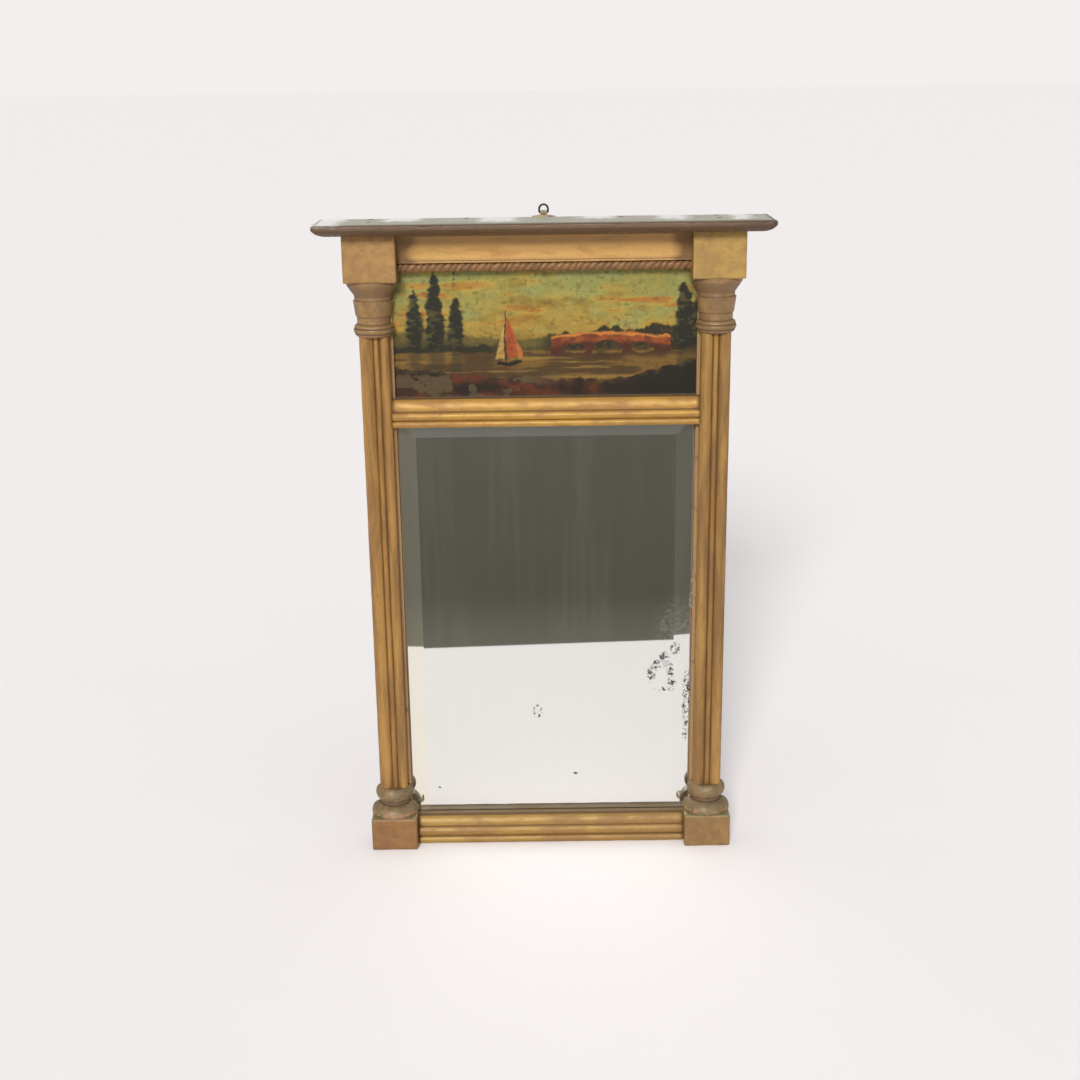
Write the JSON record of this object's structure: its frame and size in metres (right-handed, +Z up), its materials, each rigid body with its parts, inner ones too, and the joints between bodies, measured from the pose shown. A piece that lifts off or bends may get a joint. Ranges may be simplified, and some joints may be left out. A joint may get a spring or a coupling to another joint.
{
  "type": "pier mirror",
  "caption": "Gilt pier mirror: bevelled mirror plate below a painted glass panel, half columns, reeded rails, coved frieze, flat cornice, and a hanging loop at the back.",
  "frame": {"origin": "on the back plane that meets the wall, at the level of the plinths' undersides, halfway between the columns", "axes": "+X to the viewer's right, +Y out of the back towards the wall, +Z up; the front faces -Y"},
  "size_m": [0.554, 0.088, 0.8583],
  "materials": {
    "cornice_finish": "dark brown aged paint and gilding over gesso, worn through on top",
    "gilt_moulding": "aged gilding on wood, warm gold with brown grooves",
    "gilt_turning": "aged gilding on turned wood, duller than the mouldings",
    "gilt_block": "aged pale gilding on flat wood blocks",
    "worn_gilt": "worn dull gilding with brown and reddish patches",
    "carcase_pine": "old pine, gilded only on the sight edges",
    "glue_block_pine": "raw pine",
    "backboard_pine": "old unfinished pine board, darkened by age",
    "painted_glass": "glass painted on its back",
    "mirror_glass": "silvered plate with a wide bevel and small silvering losses",
    "nail_iron": "dark iron, slightly rusted",
    "hanger_brass": "dull aged brass",
    "loop_iron": "dark iron wire",
    "screw_steel": "dull steel screws"
  },
  "bodies": {
    "frame": {"cornice_board": "cornice_finish", "frieze_moulding": "gilt_moulding", "rope_moulding": "gilt_moulding", "mid_rail_moulding": "gilt_moulding", "bottom_rail_moulding": "gilt_moulding", "capital_left": "gilt_turning", "capital_right": "gilt_turning", "column_left": "gilt_turning", "column_right": "gilt_turning", "upper_block_left": "gilt_block", "upper_block_right": "gilt_block", "column_base_left": "worn_gilt", "column_base_right": "worn_gilt", "plinth_left": "worn_gilt", "plinth_right": "worn_gilt", "stile_left": "carcase_pine", "stile_right": "carcase_pine", "top_rail": "carcase_pine", "mid_rail": "carcase_pine", "bottom_rail": "carcase_pine", "panel_blocks": "glue_block_pine", "mirror_blocks": "glue_block_pine", "panel_backboard": "backboard_pine", "mirror_backboard_upper": "backboard_pine", "mirror_backboard_lower": "backboard_pine", "painted_panel": "painted_glass", "mirror_plate": "mirror_glass", "backboard_nails": "nail_iron", "cornice_nails": "nail_iron", "hanger_plate": "hanger_brass", "hanger_screws": "screw_steel"},
    "hanger_loop": {"hanger_loop": "loop_iron"}
  },
  "joints": [
    {"name": "hanger_loop_swing", "type": "hinge", "parent": "frame", "child": "hanger_loop", "pos_m": [0, -0.0025, 0.8475], "axis": [1, 0, 0], "range_deg": [-90, 110]}
  ]
}
